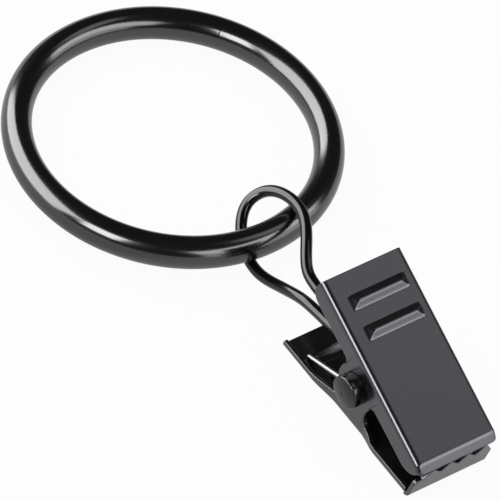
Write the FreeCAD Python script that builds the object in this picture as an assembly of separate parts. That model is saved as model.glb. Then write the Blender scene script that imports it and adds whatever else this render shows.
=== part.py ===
import FreeCAD, Part
import math
import os

# Curtain ring with a sprung clip, lying as it comes to rest.
# The origin is the centre of the ring, +Z is up, and the clip reaches out along -Y.
# Every size is in millimetres and every angle in degrees.

os.makedirs("parts", exist_ok=True)

# Ring: a round rod of oval section
RING_INNER = 38.0
RING_RADIAL = 4.15
RING_AXIAL = 4.8

# Eyelet: one wire, looped round the ring and bent into two eyes on the pin
WIRE = 1.6
UNDER_PLAY = 0.12
OVER_PLAY = 0.76
EYELET_REACH = 28.85
EYE_PLAY = 0.06
EYE_TURN = 305.0
LEG_PITCH = 1.72
RIGHT_LEG_FALL = 3.3
LEFT_LEG_FALL = 4.8
LOOP_SIDE = 6.0
LOOP_LENGTH = 12.9
LOOP_BEND = 0.47

# Jaws: two folded sheets
SHEET = 0.6
FOLD_RADIUS = 0.75
NEST_PLAY = 0.05
FRONT_WIDTH = 13.2
CLIP_SIDE = -1.3
FRONT_RISE = 25.6
JAW_ANGLE = 22.8

# Front jaw, measured from the pin's axis
FRONT_HEIGHT = 4.9
FRONT_HANDLE = 13.9
FRONT_CREASE = 13.16
LIP_LENGTH = 1.4
LIP_ANGLE = 27.0
FRONT_EAR = 3.35
FRONT_TAB_RADIUS = 3.5
FRONT_TAB_FILLET = 0.8
EAR_HANDLE_ROUND = 2.0
EAR_LIP_ROUND = 2.8
LIP_CORNER_ROUND = 0.5

# Back jaw, measured from the pin's axis
BACK_HEIGHT = 7.4
BACK_HANDLE = 14.05
BACK_REACH = 14.05
TIP_RADIUS = 0.9
TIP_FOLD = 81.0
TEETH_GAP = 0.08
BACK_FLANGE = 1.3
BACK_SHOULDER = 1.95
SHOULDER_TIP_SLOPE = 1.0
SHOULDER_HANDLE_SLOPE = 4.0
BACK_TAB_RADIUS = 2.5
BACK_TAB_ROUND = 1.6
BACK_INSET = 0.15
WAIST_HALF = 2.7
WAIST_TIP_RUN = 3.5
WAIST_HANDLE_RUN = 5.0

# Teeth on the back jaw's turned-up tip
TIP_CORNER_ROUND = 0.8
TOOTH_COUNT = 4
TOOTH_PITCH = 2.87
TOOTH_DEPTH = 1.4
TOOTH_NOTCH = 2.5
TOOTH_LEAN = 0.24

# Two pressed grip ridges on each handle
RIDGE_LENGTH = 9.4
RIDGE_WIDTH = 2.2
RIDGE_HEIGHT = 0.55
RIDGE_HIP = 0.95
RIDGE_PLACES = (9.75, 5.35)

# The teeth and ridges are pressed this far to +X of the jaws' middle
PRESS_SIDE = 0.45

# Rivet
PIN_RADIUS = 1.0
PIN_PLAY = 0.03
HEAD_RADIUS = 2.35
HEAD_HEIGHT = 1.75
HEAD_DOME = 0.28
DIMPLE_RADIUS = 0.28

# Double torsion spring
SPRING_WIRE = 0.75
COIL_RADIUS = 1.9
COIL_GAP = 0.03
COIL_ROOM = 0.08
SPRING_SIDE_PLAY = 0.15
BACK_ARM_LENGTH = 12.0
BRIDGE_LENGTH = 9.6
BRIDGE_BEND = 0.45

# Length that runs well past both jaws, for shapes that only cut
FAR = 30.0

# Places that follow from the sizes above
RING_CENTRE_LINE = RING_INNER / 2 + RING_RADIAL / 2
RING_TILT = math.degrees(math.asin((WIRE + UNDER_PLAY) / (2 * RING_CENTRE_LINE)))
CROSSING_OUT = RING_CENTRE_LINE * math.cos(math.radians(RING_TILT))
CROSSING_UP = RING_CENTRE_LINE * math.sin(math.radians(RING_TILT))
FLOOR = -CROSSING_UP - RING_AXIAL / 2
BACK_NARROW = FRONT_WIDTH / 2 - SHEET - NEST_PLAY
BACK_WIDE = FRONT_WIDTH / 2 - BACK_INSET
BACK_RISE = FRONT_RISE - JAW_ANGLE
TIP_CENTRE = TIP_RADIUS - BACK_REACH
PIN_OUT = CROSSING_OUT + EYELET_REACH


def pin_height():
    """Height of the pin's axis with the back jaw's folded tip on the floor."""
    rise = math.radians(BACK_RISE)
    below = (BACK_HEIGHT - TIP_RADIUS) * math.cos(rise) - TIP_CENTRE * math.sin(rise) + TIP_RADIUS
    return FLOOR + below


PIN_UP = pin_height()


def vec(x, y, z):
    return FreeCAD.Vector(x, y, z)


X_AXIS = vec(1, 0, 0)
Y_AXIS = vec(0, 1, 0)
Z_AXIS = vec(0, 0, 1)
ORIGIN = vec(0, 0, 0)


def polygon_prism(points, start, along):
    """Prism of a closed outline of 3-D points, moved by start and swept by along."""
    corners = [p + start for p in points]
    wire = Part.makePolygon(corners + [corners[0]])
    return Part.Face(wire).extrude(along)


def side_prism(outline, half_width):
    """Prism across the width, of an outline in (y, z)."""
    points = [vec(0, y, z) for y, z in outline]
    return polygon_prism(points, vec(-half_width, 0, 0), vec(2 * half_width, 0, 0))


def across(radius, y, z, half_width):
    """Cylinder across the width about (y, z)."""
    return Part.makeCylinder(radius, 2 * half_width, vec(-half_width, y, z), X_AXIS)


def block(low, high):
    size = high - low
    return Part.makeBox(size.x, size.y, size.z, low)


def channel_section(half, top, y, radius):
    """Closed outline across the jaws at y, far down from top, its two upper corners rounded."""
    bite = radius * (1 - math.sqrt(0.5))
    right = [vec(half, y, top - radius), vec(half - bite, y, top - bite), vec(half - radius, y, top)]
    left = [vec(radius - half, y, top), vec(bite - half, y, top - bite), vec(-half, y, top - radius)]
    floor = [vec(-half, y, -FAR), vec(half, y, -FAR)]
    edges = [
        Part.makeLine(floor[1], right[0]),
        Part.Arc(*right).toShape(),
        Part.makeLine(right[2], left[0]),
        Part.Arc(*left).toShape(),
        Part.makeLine(left[2], floor[0]),
        Part.makeLine(floor[0], floor[1]),
    ]
    return Part.Wire(edges)


def channel(half, top, radius):
    """Bar along Y, longer than the jaws, whose two upper long edges are rounded."""
    return Part.Face(channel_section(half, top, -FAR, radius)).extrude(vec(0, 2 * FAR, 0))


def waisted_channel(narrow, wide, top, radius):
    """The same bar, but narrow beside the pin and wide towards both ends."""
    stations = [
        (-FAR, wide),
        (-WAIST_HALF - WAIST_TIP_RUN, wide),
        (-WAIST_HALF, narrow),
        (WAIST_HALF, narrow),
        (WAIST_HALF + WAIST_HANDLE_RUN, wide),
        (FAR, wide),
    ]
    sections = [channel_section(half, top, y, radius) for y, half in stations]
    return Part.makeLoft(sections, True, True)


def plan_corners(solid, half_width, y, radius, towards):
    """Round the two plan corners of a jaw's end at y; towards is the sign of Y at that end."""
    for side in (-1, 1):
        x = side * half_width
        centre = vec(x - side * radius, y - towards * radius, 0)
        corner = block(
            vec(min(x, centre.x), min(y, centre.y), -FAR),
            vec(max(x, centre.x), max(y, centre.y), FAR),
        )
        rod = Part.makeCylinder(radius, 2 * FAR, centre - vec(0, 0, FAR), Z_AXIS)
        solid = solid.cut(corner.cut(rod))
    return solid


def ridge_form(side, place, face):
    """Hipped ridge that stands RIDGE_HEIGHT above a face, across the handle, centred on (side, place)."""
    half_length = RIDGE_LENGTH / 2
    half_width = RIDGE_WIDTH / 2
    crest = face + RIDGE_HEIGHT
    foot = [
        vec(side - half_length, place - half_width, face),
        vec(side + half_length, place - half_width, face),
        vec(side + half_length, place + half_width, face),
        vec(side - half_length, place + half_width, face),
    ]
    hip = half_length - RIDGE_HIP
    ends = [vec(side - hip, place, crest), vec(side + hip, place, crest)]
    faces = [
        [foot[3], foot[2], foot[1], foot[0]],
        [foot[0], foot[1], ends[1], ends[0]],
        [foot[2], foot[3], ends[0], ends[1]],
        [foot[1], foot[2], ends[1]],
        [foot[3], foot[0], ends[0]],
    ]
    shell = Part.Shell([Part.Face(Part.makePolygon(f + [f[0]])) for f in faces])
    return Part.Solid(shell)


def press_ridges(jaw, side, face):
    """Press the grip ridges outwards: a hipped ridge outside and its hollow inside."""
    for place in RIDGE_PLACES:
        jaw = jaw.fuse(ridge_form(side, place, face))
        jaw = jaw.cut(ridge_form(side, place, face - SHEET))
    return jaw.removeSplitter()


def front_jaw():
    """Front jaw: plate with a bent lip, deep side ears and a round tab at the pin."""
    half = FRONT_WIDTH / 2
    lip = math.radians(LIP_ANGLE)
    lip_out = FRONT_CREASE + LIP_LENGTH * math.cos(lip)
    lip_top = FRONT_HEIGHT - LIP_LENGTH * math.sin(lip)
    ear = FRONT_HEIGHT - FRONT_EAR
    lip_low = lip_top - SHEET * math.cos(lip)
    ear_end = SHEET * math.sin(lip) - lip_out
    outline = [
        (FRONT_HANDLE, FRONT_HEIGHT),
        (-FRONT_CREASE, FRONT_HEIGHT),
        (-lip_out, lip_top),
        (ear_end, lip_low),
        (ear_end, ear),
        (FRONT_HANDLE, ear),
    ]
    form = side_prism(outline, half)
    form = form.cut(ear_corner(FRONT_HANDLE, ear, EAR_HANDLE_ROUND, 1))
    form = form.cut(ear_corner(ear_end, ear, EAR_LIP_ROUND, -1))
    tab = across(FRONT_TAB_RADIUS, 0, 0, half)
    form = form.fuse(tab).fuse(tab_fillets(half, ear))
    form = form.common(channel(half, FRONT_HEIGHT, FOLD_RADIUS))
    crease = FRONT_CREASE - SHEET * math.tan(lip / 2)
    roof = FRONT_HEIGHT - SHEET
    inside = [
        (FAR, roof),
        (-crease, roof),
        (-crease - FAR * math.cos(lip), roof - FAR * math.sin(lip)),
        (-crease - FAR * math.cos(lip), -FAR),
        (FAR, -FAR),
    ]
    hollow = side_prism(inside, half)
    core = channel(half - SHEET, roof, FOLD_RADIUS - SHEET)
    form = form.cut(hollow.common(core))
    form = plan_corners(form, half, -lip_out, LIP_CORNER_ROUND, -1)
    form = press_ridges(form, PRESS_SIDE, FRONT_HEIGHT)
    return form.cut(across(PIN_RADIUS + PIN_PLAY, 0, 0, FAR))


def ear_corner(end, low, radius, towards):
    """What rounding cuts off the ears' lower corner at end; towards is the sign of Y at that end."""
    y = end - towards * radius
    z = low + radius
    corner = block(vec(-FAR, min(y, end), low), vec(FAR, max(y, end), z))
    return corner.cut(across(radius, y, z, FAR))


def tab_fillets(half, ear):
    """Fillets between the round tab and the ears' lower edge, each side of the pin."""
    reach = FRONT_TAB_RADIUS + FRONT_TAB_FILLET
    z = ear - FRONT_TAB_FILLET
    y = math.sqrt(reach ** 2 - z ** 2)
    low = z * FRONT_TAB_RADIUS / reach
    fillets = block(vec(-half, -y, low), vec(half, y, ear))
    for side in (-1, 1):
        fillets = fillets.cut(across(FRONT_TAB_FILLET, side * y, z, FAR))
    return fillets


def notch_cutter(corners):
    """Cutter through the tip's sheet, its corners in (x, z) with z from the strip's free edge."""
    points = [vec(x, 0, z) for x, z in corners]
    return polygon_prism(points, vec(0, -FAR, 0), vec(0, 2 * FAR, 0))


def teeth_cutters(half):
    """V notches between the teeth, and what is cut off beyond the outer two, with a round corner."""
    middle = -PRESS_SIDE
    first = middle - TOOTH_COUNT / 2 * TOOTH_PITCH
    cutters = []
    for i in range(1, TOOTH_COUNT):
        notch = first + i * TOOTH_PITCH
        corners = [
            (notch - TOOTH_NOTCH / 2, 0),
            (notch + TOOTH_NOTCH / 2, 0),
            (notch - TOOTH_LEAN, TOOTH_DEPTH),
        ]
        cutters.append(notch_cutter(corners))
    for side in (-1, 1):
        notch = middle + side * TOOTH_COUNT / 2 * TOOTH_PITCH
        near = notch - side * TOOTH_NOTCH / 2
        corners = [(near, 0), (notch, TOOTH_DEPTH), (side * FAR, TOOTH_DEPTH), (side * FAR, 0)]
        cutters.append(notch_cutter(corners))
        x = side * (half - TIP_CORNER_ROUND)
        z = TOOTH_DEPTH + TIP_CORNER_ROUND
        corner = block(vec(min(x, side * half), -FAR, 0), vec(max(x, side * half), FAR, z))
        rod = Part.makeCylinder(TIP_CORNER_ROUND, 2 * FAR, vec(x, -FAR, z), Y_AXIS)
        cutters.append(corner.cut(rod))
    return cutters


def back_tip_length():
    """Length of the turned-up tip from its fold to just under the front jaw's lip."""
    lip = math.radians(LIP_ANGLE)
    place_y = -(FRONT_CREASE + LIP_LENGTH * math.cos(lip) - SHEET * math.sin(lip))
    place_z = FRONT_HEIGHT - LIP_LENGTH * math.sin(lip) - SHEET * math.cos(lip)
    turn = math.radians(JAW_ANGLE)
    along = place_y * math.cos(turn) - place_z * math.sin(turn)
    out = -place_y * math.sin(turn) - place_z * math.cos(turn)
    lean = math.radians(90 - TIP_FOLD)
    centre_out = BACK_HEIGHT - TIP_RADIUS
    reach = (centre_out - out) / math.cos(lean)
    return reach - TEETH_GAP


def back_jaw():
    """Back jaw: plate with low flanges, a tab at the pin and a toothed, turned-up tip."""
    half = BACK_WIDE
    lean = math.radians(90 - TIP_FOLD)
    length = back_tip_length()
    centre_out = BACK_HEIGHT - TIP_RADIUS
    plate = block(vec(-half, TIP_CENTRE, BACK_HEIGHT - SHEET), vec(half, BACK_HANDLE, BACK_HEIGHT))
    tip = tip_sheet(half, lean, length, centre_out)
    form = plate.fuse(back_flange(half))
    form = form.common(waisted_channel(BACK_NARROW, half, BACK_HEIGHT, FOLD_RADIUS))
    form = form.fuse(tip)
    form = press_ridges(form, -PRESS_SIDE, BACK_HEIGHT)
    return form.cut(across(PIN_RADIUS, 0, 0, FAR)).removeSplitter()


def tip_sheet(half, lean, length, centre_out):
    """The folded tip: a quarter round of sheet and the toothed strip that rises from it."""
    outer = across(TIP_RADIUS, TIP_CENTRE, centre_out, half)
    inner = across(TIP_RADIUS - SHEET, TIP_CENTRE, centre_out, FAR)
    wedge = [
        (TIP_CENTRE, centre_out),
        (TIP_CENTRE, centre_out + FAR),
        (TIP_CENTRE - FAR, centre_out + FAR),
        (TIP_CENTRE - FAR * math.cos(lean), centre_out + FAR * math.sin(lean)),
    ]
    bend = outer.cut(inner).common(side_prism(wedge, half))
    strip = block(vec(-half, -TIP_RADIUS, -length), vec(half, SHEET - TIP_RADIUS, 0))
    for cutter in teeth_cutters(half):
        strip = strip.cut(cutter.translated(vec(0, 0, -length)))
    strip.rotate(ORIGIN, X_AXIS, TIP_FOLD - 90)
    strip.translate(vec(0, TIP_CENTRE, centre_out))
    return bend.fuse(strip).removeSplitter()


def back_flange(half):
    """Both flanges of the back jaw: low along the plate, with a tab up to the pin."""
    low = BACK_HEIGHT - BACK_FLANGE
    shoulder = BACK_HEIGHT - BACK_SHOULDER
    rise = BACK_TAB_RADIUS + BACK_TAB_ROUND
    outline = [
        (BACK_HANDLE, BACK_HEIGHT),
        (TIP_CENTRE, BACK_HEIGHT),
        (TIP_CENTRE, low),
        (-rise - SHOULDER_TIP_SLOPE, low),
        (-rise, shoulder),
        (rise, shoulder),
        (rise + SHOULDER_HANDLE_SLOPE, low),
        (BACK_HANDLE, low),
    ]
    walls = side_prism(outline, half)
    tab = across(BACK_TAB_RADIUS, 0, 0, half)
    stem = block(vec(-half, -rise, 0), vec(half, rise, BACK_HEIGHT))
    for side in (-1, 1):
        y = side * rise
        scoop = across(BACK_TAB_ROUND, y, shoulder - BACK_TAB_ROUND, FAR)
        notch = block(
            vec(-FAR, min(y, side * BACK_TAB_RADIUS), -FAR),
            vec(FAR, max(y, side * BACK_TAB_RADIUS), shoulder - BACK_TAB_ROUND),
        )
        stem = stem.cut(scoop).cut(notch)
    walls = walls.fuse(tab).fuse(stem)
    inside = waisted_channel(BACK_NARROW - SHEET, half - SHEET, BACK_HEIGHT - SHEET, FOLD_RADIUS - SHEET)
    return walls.cut(inside)


def place_front(shape):
    """Put a shape from the front jaw's own frame into the part's frame."""
    placed = shape.copy()
    placed.rotate(ORIGIN, X_AXIS, FRONT_RISE)
    placed.translate(vec(CLIP_SIDE, -PIN_OUT, PIN_UP))
    return placed


def place_back(shape):
    """Put a shape from the back jaw's own frame into the part's frame."""
    placed = shape.copy()
    placed.rotate(ORIGIN, Y_AXIS, 180)
    placed.rotate(ORIGIN, X_AXIS, BACK_RISE)
    placed.translate(vec(CLIP_SIDE, -PIN_OUT, PIN_UP))
    return placed


def ring():
    """Ring: an oval section turned about the ring's axis, tilted by the wire under it."""
    major = RING_AXIAL / 2
    minor = RING_RADIAL / 2
    centre = vec(RING_CENTRE_LINE, 0, 0)
    oval = Part.Ellipse(centre + vec(0, 0, major), centre + vec(minor, 0, 0), centre)
    section = Part.Face(Part.Wire(oval.toShape()))
    solid = section.revolve(ORIGIN, Z_AXIS, 360)
    solid.rotate(ORIGIN, X_AXIS, -RING_TILT)
    return solid


def rounded_route(points, share):
    """Edges along a route of points, straight runs joined by tangent arcs."""
    edges = []
    previous = points[0]
    for i in range(1, len(points) - 1):
        corner = points[i]
        to_last = points[i - 1] - corner
        to_next = points[i + 1] - corner
        trim = share * min(to_last.Length, to_next.Length)
        start = corner + to_last.normalize() * trim
        end = corner + to_next.normalize() * trim
        half_angle = to_last.getAngle(to_next) / 2
        radius = trim * math.tan(half_angle)
        middle_way = (to_last + to_next).normalize()
        middle = corner + middle_way * (radius / math.sin(half_angle) - radius)
        edges.append(Part.LineSegment(previous, start).toShape())
        edges.append(Part.Arc(start, middle, end).toShape())
        previous = end
    edges.append(Part.LineSegment(previous, points[-1]).toShape())
    return edges


def eye_point(side, angle, radius):
    """Point of an eye's centre line; angle 0 is straight below the pin, growing towards the jaws."""
    turn = math.radians(angle)
    x = CLIP_SIDE + side * LEG_PITCH / 2
    return vec(x, -PIN_OUT - radius * math.sin(turn), PIN_UP - radius * math.cos(turn))


def eyelet_loop():
    """Corners of the loop, as shares of its size: sideways from the clip, out from the rod, up from it."""
    over = RING_AXIAL / 2 + WIRE / 2 + OVER_PLAY
    under = RING_AXIAL / 2 + WIRE / 2 + UNDER_PLAY
    above = [
        (0.1, 0.806, 0.27),
        (0.217, 0.612, 0.66),
        (0.467, 0.45, 0.86),
        (0.75, 0.267, 0.98),
        (0.933, 0.089, 1.0),
        (1.0, -0.097, 0.92),
        (0.967, -0.291, 0.74),
        (0.867, -0.419, 0.5),
        (0.717, -0.488, 0.23),
    ]
    below = [
        (0.5, -0.504, -0.05),
        (0.3, -0.457, -0.38),
        (0.1, -0.341, -0.69),
        (-0.067, -0.178, -0.94),
        (-0.183, 0.012, -1.0),
        (-0.217, 0.182, -1.0),
        (-0.2, 0.345, -0.84),
        (-0.175, 0.539, -0.5),
        (-0.175, 0.764, -0.09),
        (-0.177, 1.0, 0.25),
    ]
    rows = [(x, out, up * over) for x, out, up in above] + [(x, out, up * under) for x, out, up in below]
    crossing = vec(CLIP_SIDE, -CROSSING_OUT, CROSSING_UP)
    return [crossing + vec(x * LOOP_SIDE, -out * LOOP_LENGTH, up) for x, out, up in rows]


def eyelet():
    """Eyelet: one wire from an eye on the pin, round the ring's rod and back to a second eye."""
    radius = PIN_RADIUS + EYE_PLAY + WIRE / 2
    right = eye_point(1, RIGHT_LEG_FALL, radius)
    left = eye_point(-1, LEFT_LEG_FALL, radius)
    edges = []
    turn = RIGHT_LEG_FALL
    start = eye_point(1, turn + EYE_TURN, radius)
    middle = eye_point(1, turn + EYE_TURN / 2, radius)
    edges.append(Part.Arc(start, middle, right).toShape())
    edges += rounded_route([right] + eyelet_loop() + [left], LOOP_BEND)
    turn = LEFT_LEG_FALL
    middle = eye_point(-1, turn + EYE_TURN / 2, radius)
    end = eye_point(-1, turn + EYE_TURN, radius)
    edges.append(Part.Arc(left, middle, end).toShape())
    path = Part.Wire(edges)
    away = (start - vec(start.x, -PIN_OUT, PIN_UP)).cross(X_AXIS)
    section = Part.Wire(Part.makeCircle(WIRE / 2, start, away))
    return path.makePipeShell([section], True, False)


def pivot_pin():
    """Rivet: a pin across both jaws with a head outside each of the front jaw's ears."""
    half = FRONT_WIDTH / 2 + PIN_PLAY
    solid = across(PIN_RADIUS, 0, 0, half)
    for side in (-1, 1):
        out = vec(side, 0, 0)
        head = Part.makeCylinder(HEAD_RADIUS, HEAD_HEIGHT, out * half, out)
        ball = (HEAD_RADIUS ** 2 + HEAD_DOME ** 2) / (2 * HEAD_DOME)
        top = out * (half + HEAD_HEIGHT + HEAD_DOME - ball)
        dome = Part.makeSphere(ball, top).common(
            Part.makeCylinder(HEAD_RADIUS, HEAD_DOME * 2, out * (half + HEAD_HEIGHT - HEAD_DOME), out)
        )
        dimple = Part.makeSphere(DIMPLE_RADIUS, out * (half + HEAD_HEIGHT + HEAD_DOME))
        solid = solid.fuse(head).fuse(dome).cut(dimple)
    return solid.removeSplitter()


def tangent_foot(target, sign):
    """Point of the coil's circle from which a straight arm runs to target, in (y, z)."""
    distance = math.hypot(target[0], target[1])
    heading = math.atan2(target[1], target[0])
    spread = math.acos(COIL_RADIUS / distance)
    angle = heading + sign * spread
    return COIL_RADIUS * math.cos(angle), COIL_RADIUS * math.sin(angle), angle


def spring_targets():
    """Ends of the arms in the front jaw's (y, z): on the back plate and on the front plate."""
    turn = math.radians(JAW_ANGLE)
    wire = SPRING_WIRE / 2
    out = BACK_HEIGHT - SHEET - wire - NEST_PLAY
    along = math.sqrt(BACK_ARM_LENGTH ** 2 + COIL_RADIUS ** 2 - out ** 2)
    back = (along * math.cos(turn) - out * math.sin(turn), -along * math.sin(turn) - out * math.cos(turn))
    high = FRONT_HEIGHT - SHEET - wire - NEST_PLAY
    front = (math.sqrt(BRIDGE_LENGTH ** 2 + COIL_RADIUS ** 2 - high ** 2), high)
    return back, front


def coil_helix(start_x, end_x, start_angle, pitch):
    """Helix about the pin from start_x to end_x, beginning at start_angle in (y, z)."""
    helix = Part.makeHelix(pitch, end_x - start_x, COIL_RADIUS)
    helix.rotate(ORIGIN, Z_AXIS, math.degrees(start_angle))
    helix.rotate(ORIGIN, Y_AXIS, 90)
    helix.rotate(ORIGIN, X_AXIS, 90)
    helix.translate(vec(start_x, 0, 0))
    return helix


def coil_turns(inner, pitch, part_turn):
    """Whole and part turns of one coil that fit between the eyes and the back jaw's flange."""
    outer = BACK_NARROW - SHEET - COIL_ROOM - SPRING_WIRE / 2
    whole = math.floor((outer - inner) / pitch - part_turn)
    return whole + part_turn


def torsion_spring():
    """Double torsion spring: a coil each side of the eyes, two back arms and one front bridge."""
    back, front = spring_targets()
    back_y, back_z, back_angle = tangent_foot(back, -1)
    front_y, front_z, front_angle = tangent_foot(front, 1)
    pitch = SPRING_WIRE + COIL_GAP
    inner = LEG_PITCH / 2 + WIRE / 2 + SPRING_SIDE_PLAY + SPRING_WIRE / 2
    part_turn = math.degrees(back_angle - front_angle) % 360 / 360
    outer = inner + pitch * coil_turns(inner, pitch, part_turn)
    middle = vec(0, front[0], front[1])
    bridge = [middle, vec(inner, front[0], front[1]), vec(inner, front_y, front_z)]
    edges = rounded_route(bridge, BRIDGE_BEND)
    edges += coil_helix(inner, outer, front_angle, pitch).Edges
    arm = Part.LineSegment(vec(outer, back_y, back_z), vec(outer, back[0], back[1]))
    edges.append(arm.toShape())
    section = Part.Wire(Part.makeCircle(SPRING_WIRE / 2, middle, X_AXIS))
    half = Part.Wire(edges).makePipeShell([section], True, False)
    return half.fuse(half.mirror(ORIGIN, X_AXIS)).removeSplitter()


def write(name, shape):
    if not shape.isValid():
        raise ValueError(name + " is not a valid solid")
    solids = shape.Solids
    print(name, len(solids), "solid,", round(shape.Volume, 2), "mm3")
    shape = solids[0] if len(solids) == 1 else Part.makeCompound(solids)
    shape.exportStep("parts/" + name + ".step")


write("ring", ring())
write("eyelet", eyelet())
write("pivot_pin", place_front(pivot_pin()))
write("front_jaw", place_front(front_jaw()))
write("back_jaw", place_back(back_jaw()))
write("torsion_spring", place_front(torsion_spring()))
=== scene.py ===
import math

import bpy
import numpy as np
from mathutils import Matrix, Vector


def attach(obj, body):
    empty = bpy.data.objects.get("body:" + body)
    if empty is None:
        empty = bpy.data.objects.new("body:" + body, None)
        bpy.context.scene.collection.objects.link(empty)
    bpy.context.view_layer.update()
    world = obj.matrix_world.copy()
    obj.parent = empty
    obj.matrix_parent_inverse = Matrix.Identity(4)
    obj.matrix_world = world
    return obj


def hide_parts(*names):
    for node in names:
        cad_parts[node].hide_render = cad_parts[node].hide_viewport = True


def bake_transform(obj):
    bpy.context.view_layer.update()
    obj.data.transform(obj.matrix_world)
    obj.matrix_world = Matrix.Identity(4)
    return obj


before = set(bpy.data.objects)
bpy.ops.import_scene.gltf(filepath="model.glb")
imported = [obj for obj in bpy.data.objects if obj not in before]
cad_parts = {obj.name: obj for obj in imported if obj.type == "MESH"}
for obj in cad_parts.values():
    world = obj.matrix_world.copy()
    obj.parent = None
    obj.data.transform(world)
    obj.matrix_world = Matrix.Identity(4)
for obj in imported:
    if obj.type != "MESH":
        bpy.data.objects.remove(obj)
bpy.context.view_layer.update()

# Sizes and places are in millimetres, as the solids are drawn, and each mesh is made in metres
MM = 0.001
X_WAY = np.array([1.0, 0.0, 0.0])

# Ring
RING_INNER = 38.0
RING_RADIAL = 4.15
RING_AXIAL = 4.8
RING_STEPS = 720
ROD_STEPS = 80
SEAM_AZIMUTH = 0.61
SEAM_DEPTH = 0.008
SEAM_WIDTH = 0.13
SEAM_STEPS = 49
SEAM_CLEAR = 0.014

# Eyelet
WIRE = 1.6
UNDER_PLAY = 0.12
OVER_PLAY = 0.76
EYELET_REACH = 28.85
EYE_PLAY = 0.06
EYE_TURN = 305.0
LEG_PITCH = 1.72
LEG_FALLS = {1: 3.3, -1: 4.8}
LOOP_SIDE = 6.0
LOOP_LENGTH = 12.9
LOOP_STEPS = 16
LOOP_SMOOTHING = 30
EYE_STEPS = 90
WIRE_SIDES = 32

# Jaws
SHEET = 0.6
FOLD_RADIUS = 0.75
NEST_PLAY = 0.05
EDGE_ROUND = 0.13
FRONT_WIDTH = 13.2
CLIP_SIDE = -1.3
FRONT_RISE = 25.6
JAW_ANGLE = 22.8
FRONT_HEIGHT = 4.9
FRONT_HANDLE = 13.9
FRONT_CREASE = 13.16
LIP_LENGTH = 1.4
LIP_ANGLE = 27.0
LIP_BEND = 0.7
FRONT_EAR = 3.35
FRONT_TAB_RADIUS = 3.5
FRONT_TAB_FILLET = 0.8
EAR_HANDLE_ROUND = 2.0
EAR_LIP_ROUND = 2.8
LIP_CORNER_ROUND = 0.5
BACK_HEIGHT = 7.4
BACK_HANDLE = 14.05
BACK_REACH = 14.05
TIP_RADIUS = 0.9
TIP_FOLD = 81.0
TEETH_GAP = 0.08
BACK_FLANGE = 1.3
BACK_SHOULDER = 1.95
SHOULDER_TIP_SLOPE = 1.0
SHOULDER_HANDLE_SLOPE = 4.0
BACK_TAB_RADIUS = 2.5
BACK_TAB_ROUND = 1.6
BACK_END_ROUND = 0.3
BACK_INSET = 0.15
WAIST_HALF = 2.7
WAIST_TIP_RUN = 3.5
WAIST_HANDLE_RUN = 5.0
TIP_CORNER_ROUND = 0.8
TOOTH_COUNT = 4
TOOTH_PITCH = 2.87
TOOTH_DEPTH = 1.4
TOOTH_NOTCH = 2.5
TOOTH_LEAN = 0.24
RIDGE_LENGTH = 9.4
RIDGE_WIDTH = 2.2
RIDGE_HEIGHT = 0.55
RIDGE_HIP = 1.35
RIDGE_PLACES = (9.75, 5.35)
RIDGE_SOFT = 0.8
PRESS_SIDE = 0.45

# Points along and across a jaw's sheet
JAW_ROWS = 240
PLATE_COLUMNS = 76
FOLD_COLUMNS = 10
EAR_COLUMNS = 12
RIM_COLUMNS = 5
TIP_COLUMNS = 144
TIP_ROWS = 20
BEND_ROWS = 16
TIP_OVERLAP = 0.05
ROW_EVEN = 0.015
INSIDE = 9.0

# Rivet
PIN_RADIUS = 1.0
PIN_PLAY = 0.03
HEAD_RADIUS = 2.35
HEAD_HEIGHT = 1.75
TAIL_HEIGHT = 1.0
HEAD_DOME = 0.28
HEAD_ROUND = 0.3
HEAD_FOOT = 0.1
DIMPLE_RADIUS = 0.2
DIMPLE_DEPTH = 0.16
RIVET_STEPS = 128

# Spring
SPRING_WIRE = 0.75
COIL_RADIUS = 1.9
COIL_GAP = 0.03
COIL_ROOM = 0.08
SPRING_SIDE_PLAY = 0.15
BACK_ARM_LENGTH = 12.0
BRIDGE_LENGTH = 9.6
SPRING_SIDES = 20
BRIDGE_STEPS = 40
COIL_STEPS = 280

# Places that follow from the sizes above
RING_CENTRE_LINE = (RING_INNER + RING_RADIAL) / 2
RING_TILT = math.asin((WIRE + UNDER_PLAY) / (2 * RING_CENTRE_LINE))
CROSSING_OUT = RING_CENTRE_LINE * math.cos(RING_TILT)
CROSSING_UP = RING_CENTRE_LINE * math.sin(RING_TILT)
FLOOR = -CROSSING_UP - RING_AXIAL / 2
BACK_NARROW = FRONT_WIDTH / 2 - SHEET - NEST_PLAY
BACK_WIDE = FRONT_WIDTH / 2 - BACK_INSET
BACK_RISE = FRONT_RISE - JAW_ANGLE
TIP_CENTRE = TIP_RADIUS - BACK_REACH
PIN_OUT = CROSSING_OUT + EYELET_REACH

# Camera: where it stands, where the picture's middle meets the floor plane of the ring, and its turn
CAMERA_PLACE = (-0.58233, -0.55215, 0.86508)
CAMERA_AIM = (-0.00278, -0.0212, 0.0)
CAMERA_ROLL = 14.59
CAMERA_LENS = 636.8

# Enamel: how many lumps of flow, peel and dust a metre holds
FLOW_SCALE = 160.0
PEEL_SCALE = 1500.0
DUST_SCALE = 4200.0
STEEL_SCALE = 2500.0

# Studio, in metres and degrees. In gloss the floor glows darker to the left of its shade edge than to its
# right: painted shade that the part's reflections show there
FLOOR_SIZE = 1.5
FLOOR_SEEN = 0.95
FLOOR_GLOSS_SHADE = (0.1, 0.55)
FLOOR_SHADE_EDGE = (-0.024, -0.018)
FILL_LEVEL = 0.5
ROOM_RADIUS = 1.45
ROOM_LEVEL = 0.05
LAMP_DISTANCE = 0.9

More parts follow.
